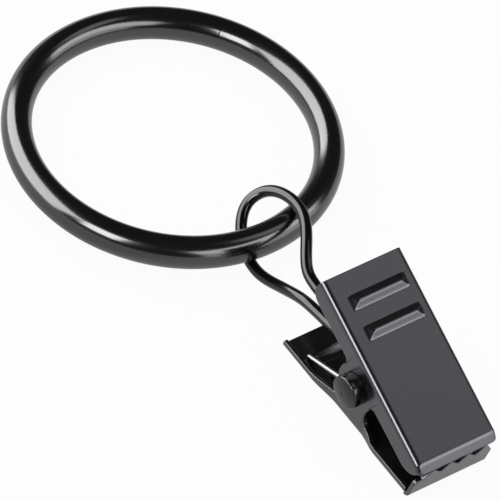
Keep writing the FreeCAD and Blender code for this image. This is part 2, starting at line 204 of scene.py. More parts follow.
# Each lamp has an azimuth from +Y towards +X, an elevation, a width, a height and a radiance
SHADOW_LAMP = (-40.0, 55.0, 0.7, 0.5, 3.0)
SOFT_BOXES = (
    ("key_box", -38.0, 25.0, 1.45, 0.86, 6.4),
    ("side_box", 156.0, 33.0, 1.4, 0.36, 4.4),
    ("low_box", 156.0, 10.0, 1.4, 0.36, 2.2),
    ("plate_box", 114.0, 58.0, 0.36, 0.36, 1.1),
    ("left_box", -103.0, 32.0, 0.36, 0.46, 11.0),
)


def pin_height():
    """Height of the pin's axis with the back jaw's folded tip on the floor."""
    rise = math.radians(BACK_RISE)
    below = (BACK_HEIGHT - TIP_RADIUS) * math.cos(rise) - TIP_CENTRE * math.sin(rise) + TIP_RADIUS
    return FLOOR + below


PIN_UP = pin_height()


def grid_quads(rows, columns, close_rows=False, close_columns=False):
    """Corner numbers of the quads of a rows by columns grid of points, wrapped round where closed."""
    r = np.arange(rows if close_rows else rows - 1)[:, None]
    c = np.arange(columns if close_columns else columns - 1)[None, :]
    next_r = (r + 1) % rows
    next_c = (c + 1) % columns
    corners = [r * columns + c, r * columns + next_c, next_r * columns + next_c, next_r * columns + c]
    return np.stack(corners, axis=-1).reshape(-1, 4)


def capped_quads(rows, columns):
    """Quads of a tube of rows by columns points, each end closed by quads from side to side."""
    quads = grid_quads(rows, columns, False, True)
    i = np.arange(columns // 2 - 1)
    cap = np.stack([i, i + 1, columns - 2 - i, columns - 1 - i], axis=-1)
    return np.concatenate([quads, cap[:, ::-1], cap + (rows - 1) * columns])


def outward(points, quads):
    """The quads, turned over if the volume that they enclose, summed from the origin, is negative."""
    a, b, c, d = (points[quads[:, i]] for i in range(4))
    volume = np.einsum("ij,ij->i", a, np.cross(b, c) + np.cross(c, d)).sum()
    return quads if volume > 0 else quads[:, ::-1]


def make_piece(name, shells, material):
    """Mesh object in metres from closed shells, each a pair of points in millimetres and quads."""
    points = []
    quads = []
    count = 0
    for shell_points, shell_quads in shells:
        flat = shell_points.reshape(-1, 3)
        quads.append(outward(flat, shell_quads) + count)
        points.append(flat)
        count += len(flat)
    points = np.concatenate(points) * MM
    quads = np.concatenate(quads)
    mesh = bpy.data.meshes.new(name)
    mesh.from_pydata(points.tolist(), [], quads.tolist())
    mesh.validate()
    mesh.shade_smooth()
    piece = bpy.data.objects.new(name, mesh)
    bpy.context.scene.collection.objects.link(piece)
    mesh.materials.append(material)
    return piece


def turned_x(points, degrees):
    """Points turned about the X axis: y' = y cos - z sin and z' = y sin + z cos."""
    c = math.cos(math.radians(degrees))
    s = math.sin(math.radians(degrees))
    x, y, z = points[..., 0], points[..., 1], points[..., 2]
    return np.stack([x, y * c - z * s, y * s + z * c], axis=-1)


def on_front_jaw(points):
    """Points of the front jaw's own frame, raised by its angle and moved to the pin."""
    return turned_x(points, FRONT_RISE) + np.array([CLIP_SIDE, -PIN_OUT, PIN_UP])


def on_back_jaw(points):
    """Points of the back jaw's own frame, turned over across Y, raised and moved to the pin."""
    flipped = points * np.array([-1.0, 1.0, -1.0])
    return turned_x(flipped, BACK_RISE) + np.array([CLIP_SIDE, -PIN_OUT, PIN_UP])


def unit(vectors):
    return vectors / np.linalg.norm(vectors, axis=-1, keepdims=True)


def ring_shell():
    """Oval section turned about the ring's axis, with the butt seam as a shallow groove round the rod.

    At azimuth u and section angle w the point is (R + a cos w)(cos u, sin u) and b sin w upwards, where
    a and b lose the groove's depth times exp(-(arc from the seam / width) squared).
    """
    u = np.linspace(0, 2 * np.pi, RING_STEPS, endpoint=False)
    near = np.linspace(-2, 2, SEAM_STEPS) * SEAM_WIDTH / RING_CENTRE_LINE + SEAM_AZIMUTH
    u = np.sort(np.concatenate([u[np.abs(u - SEAM_AZIMUTH) > SEAM_CLEAR], near]))[:, None]
    w = np.linspace(0, 2 * np.pi, ROD_STEPS, endpoint=False)[None, :]
    groove = SEAM_DEPTH * np.exp(-((u - SEAM_AZIMUTH) * RING_CENTRE_LINE / SEAM_WIDTH) ** 2)
    out = RING_CENTRE_LINE + (RING_RADIAL / 2 - groove) * np.cos(w)
    up = (RING_AXIAL / 2 - groove) * np.sin(w) + 0 * u
    points = np.stack([out * np.cos(u), out * np.sin(u), up], axis=-1)
    points = turned_x(points, -math.degrees(RING_TILT))
    return points, grid_quads(u.size, w.size, True, True)


def tube_shell(path, radius, sides, dome=8):
    """Round tube along a path, closed by a half ball at each end.

    Each section is path + r (N cos w + B sin w), where N and B are the path's normals, carried along it
    with no twist, and r shrinks at the ends as a circle does.
    """
    tangents = unit(np.gradient(path, axis=0))
    angle = np.linspace(0, np.pi / 2, dome)[:, None]
    start = path[0] - tangents[0] * radius * np.cos(angle)
    end = path[-1] + tangents[-1] * radius * np.sin(angle)
    stations = np.concatenate([start[:-1], path, end[1:]])
    radii = np.full(len(stations), radius)
    radii[: dome - 1] = radius * np.maximum(np.sin(angle[:-1, 0]), 0.01)
    radii[-(dome - 1):] = radius * np.maximum(np.cos(angle[1:, 0]), 0.01)
    tangents = np.concatenate([np.repeat(tangents[:1], dome - 1, 0), tangents,
                               np.repeat(tangents[-1:], dome - 1, 0)])
    normal = unit(np.cross(tangents[0], [0.31, 0.5, 0.81]))
    normals = []
    for tangent in tangents:
        normal = unit(normal - tangent * normal.dot(tangent))
        normals.append(normal)
    normals = np.array(normals)
    sides_way = np.cross(tangents, normals)
    w = np.linspace(0, 2 * np.pi, sides, endpoint=False)
    ring = normals[:, None] * np.cos(w)[None, :, None] + sides_way[:, None] * np.sin(w)[None, :, None]
    points = stations[:, None] + ring * radii[:, None, None]
    return points, capped_quads(len(stations), sides)


def flowing_line(corners, steps):
    """Quadratic B-spline of the corners.

    Each stretch runs between two midpoints A and C past the corner B: (1-t)^2 A + 2t(1-t) B + t^2 C.
    """
    corners = np.array(corners, float)
    middles = (corners[:-1] + corners[1:]) / 2
    starts = np.concatenate([corners[:1], middles[1:-1]])
    ends = np.concatenate([middles[1:-1], corners[-1:]])
    bends = corners[1:-1]
    t = np.linspace(0, 1, steps, endpoint=False)[None, :, None]
    line = (1 - t) ** 2 * starts[:, None] + 2 * t * (1 - t) * bends[:, None] + t ** 2 * ends[:, None]
    return np.concatenate([line.reshape(-1, 3), corners[-1:]])


def eye_points(side, angles):
    """Centre line of an eye: angle 0 is straight below the pin and it grows towards the jaws' tips."""
    radius = PIN_RADIUS + EYE_PLAY + WIRE / 2
    turn = np.radians(angles)
    x = np.full(turn.shape, CLIP_SIDE + side * LEG_PITCH / 2)
    return np.stack([x, -PIN_OUT - radius * np.sin(turn), PIN_UP - radius * np.cos(turn)], axis=-1)


def loop_corners():
    """Corners of the loop, as shares of its size: sideways from the clip, out from the rod, up from it."""
    over = RING_AXIAL / 2 + WIRE / 2 + OVER_PLAY
    under = RING_AXIAL / 2 + WIRE / 2 + UNDER_PLAY
    above = [
        (0.1, 0.806, 0.27),
        (0.217, 0.612, 0.66),
        (0.467, 0.45, 0.86),
        (0.75, 0.267, 0.98),
        (0.933, 0.089, 1.0),
        (1.0, -0.097, 0.92),
        (0.967, -0.291, 0.74),
        (0.867, -0.419, 0.5),
        (0.717, -0.488, 0.23),
    ]
    below = [
        (0.5, -0.504, -0.05),
        (0.3, -0.457, -0.38),
        (0.1, -0.341, -0.69),
        (-0.067, -0.178, -0.94),
        (-0.183, 0.012, -1.0),
        (-0.217, 0.182, -1.0),
        (-0.2, 0.345, -0.84),
        (-0.175, 0.539, -0.5),
        (-0.175, 0.764, -0.08),
        (-0.177, 1.0, 0.29),
    ]
    size = np.array([LOOP_SIDE, -LOOP_LENGTH, 1.0])
    rows = np.concatenate([np.array(above) * [1, 1, over], np.array(below) * [1, 1, under]])
    return rows * size + np.array([CLIP_SIDE, -CROSSING_OUT, CROSSING_UP])


def smoothed(line, passes):
    """The line with each inner point moved halfway to the middle of its neighbours, some times over."""
    line = line.copy()
    for _ in range(passes):
        line[1:-1] = line[1:-1] / 2 + (line[:-2] + line[2:]) / 4
    return line


def eyelet_line():
    """Centre line of the eyelet's wire: an eye, the loop round the rod and the other eye."""
    right_turn = np.linspace(LEG_FALLS[1] + EYE_TURN, LEG_FALLS[1], EYE_STEPS)
    left_turn = np.linspace(LEG_FALLS[-1], LEG_FALLS[-1] + EYE_TURN, EYE_STEPS)
    right = eye_points(1, right_turn)
    left = eye_points(-1, left_turn)
    loop = flowing_line(np.concatenate([right[-1:], loop_corners(), left[:1]]), LOOP_STEPS)
    return np.concatenate([right[:-1], smoothed(loop, LOOP_SMOOTHING), left[1:]])


def arc_line(centre, radius, start, end, steps=16):
    """Points of a circle about (y, z) from one angle to another, in degrees."""
    turn = np.radians(np.linspace(start, end, steps))
    return np.array(centre) + radius * np.stack([np.cos(turn), np.sin(turn)], axis=-1)


def front_tab(ear):
    """A round tab about the pin with a fillet up to the ear's line on each side, from -Y to +Y.

    A fillet's centre is at (sqrt((R + f)^2 - (ear - f)^2), ear - f), so it touches both.
    """
    up = ear - FRONT_TAB_FILLET
    out = math.sqrt((FRONT_TAB_RADIUS + FRONT_TAB_FILLET) ** 2 - up ** 2)
    touch = math.degrees(math.atan2(up, out))
    disc = arc_line((0, 0), FRONT_TAB_RADIUS, -90, touch, 40)
    bend = arc_line((out, up), FRONT_TAB_FILLET, 180 + touch, 90)
    right = np.concatenate([disc, bend[1:]])
    left = right[::-1] * np.array([-1.0, 1.0])
    return np.concatenate([left, right[1:]])


def resampled(line, count):
    """Points at even steps along a line."""
    steps = np.concatenate([[0], np.cumsum(np.linalg.norm(np.diff(line, axis=0), axis=1))])
    at = np.linspace(0, steps[-1], count)
    return np.stack([np.interp(at, steps, line[:, i]) for i in range(line.shape[1])], axis=-1)


def ridge_height(x, y):
    """Grip ridges: roofs RIDGE_HEIGHT high with hipped ends and softly rounded crests and feet.

    The roof's share is the least of (half width - |y|) / half width and (half length - |x|) / hip,
    and the height is that share blended with its own cosine step.
    """
    total = 0 * x
    for place in RIDGE_PLACES:
        flank = 1 - np.abs(y - place) / (RIDGE_WIDTH / 2)
        end = (RIDGE_LENGTH / 2 - np.abs(x)) / RIDGE_HIP
        roof = np.clip(np.minimum(flank, end), 0, 1)
        step = (1 - np.cos(np.pi * roof)) / 2
        total = total + RIDGE_HEIGHT * ((1 - RIDGE_SOFT) * roof + RIDGE_SOFT * step)
    return total


def bent_profile(travel, height, crease, angle, bend):
    """Plate's line in (y, z): flat at height, then turned down by angle past y = -crease.

    The slope grows evenly over the bend's length, and y and z are the running sums of cos and sin.
    """
    fine = np.linspace(travel.min(), travel.max(), 4000)
    slope = np.radians(angle) * np.clip((-crease + bend / 2 - fine) / bend, 0, 1)
    step = fine[1] - fine[0]
    y = fine[-1] - np.concatenate([np.cumsum(np.cos(slope[::-1]) * step)[::-1][1:], [0]])
    z = height - np.concatenate([np.cumsum(np.sin(slope[::-1]) * step)[::-1][1:], [0]])
    return (np.stack([np.interp(travel, fine, y), np.interp(travel, fine, z)], axis=-1),
            np.interp(travel, fine, slope))


def rim_shares():
    """Shares from 0 to 1 across a rounded rim, closer towards its outer end: sin of even angles."""
    return np.sin(np.linspace(0, np.pi / 2, RIM_COLUMNS + 1))[1:]


def edge_stations(count, length):
    """Places from 0 to length, closer at both ends so that they catch the rounding of the edges."""
    close = EDGE_ROUND * (1 - rim_shares())[::-1]
    inner = np.linspace(EDGE_ROUND, length - EDGE_ROUND, count)
    return np.concatenate([close, inner, length - close[::-1]])


def edge_drop(distance):
    """How far a face falls towards the sheet's middle at a distance from the edge: a quarter circle."""
    inside = np.clip(EDGE_ROUND - distance, 0, EDGE_ROUND)
    return EDGE_ROUND - np.sqrt(EDGE_ROUND ** 2 - inside ** 2)


def sheet_shell(outer, inner, distance):
    """Closed shell between a sheet's two faces, which fall towards each other near its edge."""
    drop = (edge_drop(distance) / SHEET)[..., None]
    top = outer + (inner - outer) * drop
    low = inner + (outer - inner) * drop
    loop = np.concatenate([top, low[:, ::-1]], axis=1)
    return loop, capped_quads(*loop.shape[:2])


def inward(line, end_distance):
    """Unit normals of an outline in (y, z), towards the sheet, turned to straight up at both ends."""
    along = unit(np.gradient(line, axis=0))
    fade = np.clip(end_distance / (2 * EDGE_ROUND), 0, 1)
    return unit(np.stack([-along[:, 1] * fade, along[:, 0] + (1 - fade)], axis=-1))


def across_sheet(line):
    """The points of a line in (y, z) as points in space at x = 0."""
    return np.concatenate([0 * line[:, :1], line], axis=1)


def channel_face(half, radius, line, normal, foot, rim_foot, ridge_side):
    """One face of a folded sheet, each row across it: ear, fold, plate, fold, ear.

    On the plate the point is the line L at x, raised by the ridges. On a fold of radius r it is L at
    x = half - r + r sin a, less r (1 - cos a) along the normal. On an ear it runs straight from the fold's
    end to the rim's foot, and on to the foot.
    """
    x = (half - radius)[:, None] * np.linspace(-1, 1, PLATE_COLUMNS)
    raised = ridge_height(x - ridge_side, line[:, 1:2] + 0 * x)
    plate = line[:, None] + normal[:, None] * raised[..., None] + x[..., None] * X_WAY
    turn = np.linspace(0, np.pi / 2, FOLD_COLUMNS)[1:]
    fold_x = (half - radius)[:, None] + radius * np.sin(turn)
    fold = line[:, None] - normal[:, None] * (radius * (1 - np.cos(turn)))[None, :, None]
    shoulder = line - normal * radius
    share = np.linspace(0, 1, EAR_COLUMNS)[1:, None]
    ear = shoulder[:, None] + (rim_foot - shoulder)[:, None] * share
    rim = rim_foot[:, None] + (foot - rim_foot)[:, None] * rim_shares()[:, None]
    ear_x = np.repeat(half[:, None], EAR_COLUMNS - 1 + RIM_COLUMNS, axis=1)
    side = np.concatenate([fold, ear, rim], axis=1)
    out = np.concatenate([fold_x, ear_x], axis=1)[..., None] * X_WAY
    return np.concatenate([(side - out)[:, ::-1], plate, side + out], axis=1)


def channel_shell(half, inner_half, profile, slope, outline, end_distance, ridge_side):
    """Folded sheet: a plate on its profile, two folds of FOLD_RADIUS and two ears down to an outline."""
    normal = np.stack([0 * slope, -np.sin(slope), np.cos(slope)], axis=-1)
    line = across_sheet(profile)
    foot = across_sheet(outline)
    rim_foot = across_sheet(outline + inward(outline, end_distance) * EDGE_ROUND)
    outer = channel_face(half, FOLD_RADIUS, line, normal, foot, rim_foot, ridge_side)
    inner = channel_face(inner_half, FOLD_RADIUS - SHEET, line - normal * SHEET, normal, foot, rim_foot,
                         ridge_side)
    rim = EDGE_ROUND * (1 - rim_shares())
    middle = np.full(outer.shape[1] - 2 * RIM_COLUMNS, INSIDE)
    sideways = np.concatenate([rim[::-1], middle, rim])
    return sheet_shell(outer, inner, np.minimum(sideways[None, :], end_distance[:, None]))


def matching_rows(outline, count, stations, travels):
    """Rows of a channel: even steps along the outline, and the plate's travel that goes with each.

    The travel follows the outline's y, mapped from stations to travels, with a small even share so that
    no two rows meet the plate at one place.
    """
    points = resampled(outline, count)
    follow = np.interp(np.maximum.accumulate(points[:, 0]), stations, travels)
    return points, (1 - ROW_EVEN) * follow + ROW_EVEN * np.linspace(travels[0], travels[-1], count)


def with_end_rows(points, travel):
    """Adds the close rows that round the sheet's two ends, and gives each row's distance from its end."""
    close = EDGE_ROUND * (1 - rim_shares())[::-1]
    inside = (travel > travel[0] + EDGE_ROUND) & (travel < travel[-1] - EDGE_ROUND)
    full = np.concatenate([travel[0] + close, travel[inside], travel[-1] - close[::-1]])
    rows = np.stack([np.interp(full, travel, points[:, i]) for i in (0, 1)], axis=-1)
    return rows, full, np.minimum(full - full[0], full[-1] - full)


def front_outline(ear):
    """Edge of the front jaw's ears in (y, z) from lip to handle: round corner, tab, round corner."""
    lip = math.radians(LIP_ANGLE)
    lip_end = SHEET * math.sin(lip) - FRONT_CREASE - LIP_LENGTH * math.cos(lip)
    fold_end = FRONT_HEIGHT - LIP_LENGTH * math.sin(lip) - FOLD_RADIUS * math.cos(lip)
    up = ear + EAR_LIP_ROUND
    start = 180 + math.degrees(math.asin((up - fold_end + 1.5 * EDGE_ROUND) / EAR_LIP_ROUND))
    lip_corner = arc_line((lip_end + EAR_LIP_ROUND, up), EAR_LIP_ROUND, start, 270)
    handle_centre = (FRONT_HANDLE - EAR_HANDLE_ROUND, ear + EAR_HANDLE_ROUND)
    handle_corner = arc_line(handle_centre, EAR_HANDLE_ROUND, 270, 360)
    return np.concatenate([lip_corner, front_tab(ear), handle_corner])


def front_half_width(distance):
    """Half the front jaw's width, less the plan round of the lip's corners: r - sqrt(r^2 - (r - d)^2)."""
    into = np.clip(LIP_CORNER_ROUND - distance, 0, LIP_CORNER_ROUND)
    return FRONT_WIDTH / 2 - LIP_CORNER_ROUND + np.sqrt(LIP_CORNER_ROUND ** 2 - into ** 2)


def front_jaw_shells():
    """Front jaw in its own frame: plate with its lip, folds and ears, each with a round tab at the pin."""
    outline = front_outline(FRONT_HEIGHT - FRONT_EAR)
    near_lip = EAR_LIP_ROUND - FRONT_CREASE
    lip_edge = -(FRONT_CREASE + LIP_LENGTH)
    points, travel = matching_rows(outline, JAW_ROWS, (outline[0, 0], near_lip, FRONT_HANDLE),
                                   (lip_edge, near_lip, FRONT_HANDLE))
    rows, travel, end_distance = with_end_rows(points, travel)
    profile, slope = bent_profile(travel, FRONT_HEIGHT, FRONT_CREASE, LIP_ANGLE, LIP_BEND)
    half = front_half_width(travel - travel[0])
    inner_half = np.full(travel.shape, FRONT_WIDTH / 2 - SHEET)
    return [channel_shell(half, inner_half, profile, slope, rows, end_distance, PRESS_SIDE)]


def back_tip_length():
    """Length of the turned-up tip from its fold to just under the front jaw's lip."""
    lip = math.radians(LIP_ANGLE)
    place_y = -(FRONT_CREASE + LIP_LENGTH * math.cos(lip) - SHEET * math.sin(lip))
    place_z = FRONT_HEIGHT - LIP_LENGTH * math.sin(lip) - SHEET * math.cos(lip)
    turn = math.radians(JAW_ANGLE)
    out = -place_y * math.sin(turn) - place_z * math.cos(turn)
    lean = math.radians(90 - TIP_FOLD)
    return (BACK_HEIGHT - TIP_RADIUS - out) / math.cos(lean) - TEETH_GAP


def back_outline():
    """Edge of the back jaw's flanges in (y, z) from tip to handle: low, with a round tab at the pin."""
    low = BACK_HEIGHT - BACK_FLANGE
    shoulder = BACK_HEIGHT - BACK_SHOULDER
    rise = BACK_TAB_RADIUS + BACK_TAB_ROUND
    tip_side = np.array([(TIP_CENTRE, low), (-rise - SHOULDER_TIP_SLOPE, low)])
    tip_scoop = arc_line((-rise, shoulder - BACK_TAB_ROUND), BACK_TAB_ROUND, 90, 0)
    tab = arc_line((0, 0), BACK_TAB_RADIUS, 180, 360, 40)
    handle_scoop = arc_line((rise, shoulder - BACK_TAB_ROUND), BACK_TAB_ROUND, 180, 90)
    handle_side = np.array([(rise + SHOULDER_HANDLE_SLOPE, low)])
    end = arc_line((BACK_HANDLE - BACK_END_ROUND, low + BACK_END_ROUND), BACK_END_ROUND, 270, 360)
    return np.concatenate([tip_side, tip_scoop, tab, handle_scoop, handle_side, end])


def back_half_width(y):
    """Half the back jaw's width: narrow beside the pin, a smooth step 3 s^2 - 2 s^3 out to each end."""
    tip_share = np.clip((-y - WAIST_HALF) / WAIST_TIP_RUN, 0, 1)
    handle_share = np.clip((y - WAIST_HALF) / WAIST_HANDLE_RUN, 0, 1)
    share = np.maximum(tip_share, handle_share)
    return BACK_NARROW + (BACK_WIDE - BACK_NARROW) * (3 * share ** 2 - 2 * share ** 3)


def back_jaw_shells():
    """Back jaw in its own frame: plate with low flanges and tabs, and the toothed, turned-up tip."""
    ends = (TIP_CENTRE, BACK_HANDLE)
    points, travel = matching_rows(back_outline(), JAW_ROWS, ends, ends)
    rows, travel, _ = with_end_rows(points, travel)
    profile = np.stack([travel, np.full(travel.shape, BACK_HEIGHT)], axis=-1)
    half = back_half_width(travel)
    body = channel_shell(half, half - SHEET, profile, 0 * travel, rows, travel[-1] - travel, -PRESS_SIDE)
    return [body, tip_shell()]


def tooth_cut(x):
    """Length cut from the tip at x: V notches between the teeth, the full depth beyond the outer ones.

    A notch is the depth times the least of the shares along its two flanks, and each corner of the tip
    loses r - sqrt(r^2 - d^2) more, d being how far x is into the corner's round.
    """
    from_middle = x + PRESS_SIDE
    cut = 0 * x
    for i in range(1, TOOTH_COUNT):
        notch = (i - TOOTH_COUNT / 2) * TOOTH_PITCH
        left = (from_middle - notch + TOOTH_NOTCH / 2) / (TOOTH_NOTCH / 2 - TOOTH_LEAN)
        right = (notch + TOOTH_NOTCH / 2 - from_middle) / (TOOTH_NOTCH / 2 + TOOTH_LEAN)
        cut = np.maximum(cut, np.minimum(left, right))
    beyond = (np.abs(from_middle) - (TOOTH_COUNT * TOOTH_PITCH - TOOTH_NOTCH) / 2) / (TOOTH_NOTCH / 2)
    cut = TOOTH_DEPTH * np.clip(np.maximum(cut, beyond), 0, 1)
    into = np.clip(np.abs(x) - BACK_WIDE + TIP_CORNER_ROUND, 0, TIP_CORNER_ROUND)
    return cut + TIP_CORNER_ROUND - np.sqrt(TIP_CORNER_ROUND ** 2 - into ** 2)


def tip_shell():
    """The tip: a quarter round of sheet, then a straight strip whose free edge has the teeth.

    The line turns through the fold's angle about (TIP_CENTRE, height - radius) and then runs straight on
    to the toothed edge. Its last rows cross the rim along the edge's own normal.
    """
    x = edge_stations(TIP_COLUMNS, 2 * BACK_WIDE) - BACK_WIDE
    length = back_tip_length() - tooth_cut(x)
    along = unit(np.stack([np.gradient(x), np.gradient(length)], axis=-1))
    fade = np.clip((BACK_WIDE - np.abs(x)) / TIP_CORNER_ROUND, 0, 1)
    away = unit(np.stack([along[:, 1] * fade, -along[:, 0] - (1 - fade)], axis=-1)) * EDGE_ROUND
    share = np.linspace(0, 1, TIP_ROWS)[1:, None]
    rim = 1 - rim_shares()[:, None]
    run_x = np.concatenate([x + away[:, 0] * share ** 6, x + away[:, 0] * rim])
    run = np.concatenate([(length + away[:, 1]) * share, length + away[:, 1] * rim])
    turn = math.radians(TIP_FOLD)
    bend = np.linspace(-TIP_OVERLAP, turn, BEND_ROWS)[:, None]
    angle = np.concatenate([bend, np.full((len(run), 1), turn)])
    straight = np.concatenate([0 * bend + 0 * x, run])
    side = np.concatenate([x + 0 * bend, run_x])
    y = TIP_CENTRE - TIP_RADIUS * np.sin(angle) - straight * math.cos(turn)
    z = BACK_HEIGHT - TIP_RADIUS + TIP_RADIUS * np.cos(angle) - straight * math.sin(turn)
    outer = np.stack([side, y, z], axis=-1)
    normal = np.stack([0 * angle, -np.sin(angle), np.cos(angle)], axis=-1)
    from_edge = np.full(outer.shape[:2], INSIDE)
    from_edge[-RIM_COLUMNS:] = EDGE_ROUND * rim
    from_side = BACK_WIDE - np.abs(side)
    return sheet_shell(outer, outer - normal * SHEET, np.minimum(from_edge, from_side))


def rivet_end(height):
    """Half of the rivet's profile (x, r), from the middle of one end to the middle of the shank.

    The end is a cylinder whose rim is rounded, under a low dome with a small dimple at its centre.
    """
    half = FRONT_WIDTH / 2 + PIN_PLAY
    ball = (HEAD_RADIUS ** 2 + HEAD_DOME ** 2) / (2 * HEAD_DOME)
    top = half + height + HEAD_DOME
    r = np.linspace(0.004, HEAD_RADIUS - HEAD_ROUND, 30)
    dome = top - ball + np.sqrt(ball ** 2 - r ** 2)
    dimple = DIMPLE_DEPTH * np.exp(-(r / DIMPLE_RADIUS) ** 2)
    face = np.stack([dome - dimple, r], axis=-1)
    turn = np.linspace(0, np.pi / 2, 9)[1:]
    rim = np.stack([dome[-1] - HEAD_ROUND * (1 - np.cos(turn)), r[-1] + HEAD_ROUND * np.sin(turn)], axis=-1)
    under = arc_line((half + HEAD_FOOT, HEAD_RADIUS - HEAD_FOOT), HEAD_FOOT, 90, 180, 5)
    foot = np.concatenate([under, [[half, PIN_RADIUS], [0.0, PIN_RADIUS]]])
    return np.concatenate([face, rim, foot])


def rivet_shell():
    """Rivet in the front jaw's frame: its profile turned about the X axis, the lower tail on the right."""
    head = rivet_end(HEAD_HEIGHT)[::-1][1:] * np.array([-1.0, 1.0])
    profile = np.concatenate([rivet_end(TAIL_HEIGHT), head])
    w = np.linspace(0, 2 * np.pi, RIVET_STEPS, endpoint=False)
    x = profile[:, :1] + 0 * w[None, :]
    points = np.stack([x, profile[:, 1:] * np.cos(w), profile[:, 1:] * np.sin(w)], axis=-1)
    return points, capped_quads(*points.shape[:2])


def tangent_foot(target, sign):
    """Point of the coil's circle from which a straight arm runs to target, in (y, z), and its angle."""
    spread = math.acos(COIL_RADIUS / math.hypot(target[0], target[1]))
    angle = math.atan2(target[1], target[0]) + sign * spread
    return COIL_RADIUS * math.cos(angle), COIL_RADIUS * math.sin(angle), angle


def spring_targets():
    """Ends of the arms in the front jaw's (y, z): on the back plate and on the front plate."""
    turn = math.radians(JAW_ANGLE)
    wire = SPRING_WIRE / 2
    out = BACK_HEIGHT - SHEET - wire - NEST_PLAY
    along = math.sqrt(BACK_ARM_LENGTH ** 2 + COIL_RADIUS ** 2 - out ** 2)
    back = (along * math.cos(turn) - out * math.sin(turn), -along * math.sin(turn) - out * math.cos(turn))
    high = FRONT_HEIGHT - SHEET - wire - NEST_PLAY
    front = (math.sqrt(BRIDGE_LENGTH ** 2 + COIL_RADIUS ** 2 - high ** 2), high)
    return back, front


def coil_sweep(inner, front_angle, back_angle):
    """Turn of a coil in radians: from one arm's angle to the other's, and the whole turns that fit.

    The room runs from the eyes to the back jaw's flange, less COIL_ROOM.
    """
    outer = BACK_NARROW - SHEET - COIL_ROOM - SPRING_WIRE / 2
    part = (back_angle - front_angle) % (2 * math.pi) / (2 * math.pi)
    return (math.floor((outer - inner) / (SPRING_WIRE + COIL_GAP) - part) + part) * 2 * math.pi


def spring_line():
    """Right half of the spring in the front jaw's frame: bridge, arm, coil about the pin and back arm.

    The coil is COIL_RADIUS (cos a, sin a) in (y, z) while x runs evenly outwards. Both arms are tangents.
    """
    back, front = spring_targets()
    back_angle = tangent_foot(back, -1)[2]
    front_y, front_z, front_angle = tangent_foot(front, 1)
    inner = LEG_PITCH / 2 + WIRE / 2 + SPRING_SIDE_PLAY + SPRING_WIRE / 2
    sweep = coil_sweep(inner, front_angle, back_angle)
    outer = inner + (SPRING_WIRE + COIL_GAP) * sweep / (2 * math.pi)
    bridge_corners = [(0, front[0], front[1]), (inner, front[0], front[1]), (inner, front_y, front_z)]
    bridge = flowing_line(bridge_corners, BRIDGE_STEPS)
    share = np.linspace(0, 1, COIL_STEPS)
    angle = front_angle + share * sweep
    coil = np.stack([inner + (outer - inner) * share, COIL_RADIUS * np.cos(angle),
                     COIL_RADIUS * np.sin(angle)], axis=-1)
    arm_share = np.linspace(0, 1, 24)[1:, None]
    arm = coil[-1] + (np.array([outer, back[0], back[1]]) - coil[-1]) * arm_share
    return np.concatenate([bridge[:-1], coil, arm]), inner, outer


class Shader:
    """Node tree of one material: node() adds a node and gives its output as a Link."""

    def __init__(self, name):
        self.material = bpy.data.materials.new(name)
        self.material.use_nodes = True
        self.tree = self.material.node_tree
        self.principled = self.tree.nodes["Principled BSDF"]

    def node(self, kind, settings=None, inputs=None, output=0):
        made = self.tree.nodes.new(kind)
        for key, value in (settings or {}).items():
            setattr(made, key, value)
        for key, value in (inputs or {}).items():
            self.feed(made.inputs[key], value)
        return Link(self, made.outputs[output])

    def feed(self, socket, value):
        if isinstance(value, Link):
            self.tree.links.new(value.socket, socket)
        else:
            socket.default_value = value

    def set(self, **values):
        for key, value in values.items():
            self.feed(self.principled.inputs[key.replace("_", " ")], value)


class Link:
    """An output socket; sums and products of links add Math nodes."""

    def __init__(self, shader, socket):
        self.shader = shader
        self.socket = socket

    def math(self, operation, a, b):
        return self.shader.node("ShaderNodeMath", {"operation": operation}, {0: a, 1: b})

    def __add__(self, other):
        return self.math("ADD", self, other)

    def __mul__(self, other):
        return self.math("MULTIPLY", self, other)

    __radd__ = __add__
    __rmul__ = __mul__


def noise(shader, place, per_metre, detail=2.0, rough=0.5):
    """Noise from 0 to 1 whose lumps are 1 / per_metre metres across."""
    return shader.node("ShaderNodeTexNoise", None, {
        "Vector": place, "Scale": per_metre, "Detail": detail, "Roughness": rough})


def black_enamel(name, level, roughness, peel, gloss=1.0, tint=(1.0, 1.0, 1.0, 1.0)):
    """Glossy black enamel with slow flow, fine peel and a few dust specks.

    The level is its colour's, the peel is its bump's strength, and gloss and tint are its reflection's.
    """
    shader = Shader(name)
    place = shader.node("ShaderNodeTexCoord", None, None, "Object")
    flow = noise(shader, place, FLOW_SCALE)
    fine = noise(shader, place, PEEL_SCALE, 3.0)
    dust = noise(shader, place, DUST_SCALE, 1.0)
    light = (level * 1.4, level * 1.4, level * 1.6, 1.0)
    dark = (level * 0.6, level * 0.6, level * 0.65, 1.0)
    colour = shader.node("ShaderNodeMix", {"data_type": "RGBA"}, {0: flow, 6: dark, 7: light}, 2)
    specks = shader.node("ShaderNodeMapRange", None, {0: dust, 1: 0.7, 2: 0.78, 3: 0.0, 4: 0.1})
    height = flow * 3.0 + fine * 0.35
    bump = shader.node("ShaderNodeBump", None, {"Strength": peel, "Distance": 0.00002, "Height": height})
    shader.set(Base_Color=colour, Roughness=roughness + flow * 0.04 + specks, Normal=bump,
               Specular_IOR_Level=gloss, Specular_Tint=tint)
    return shader.material


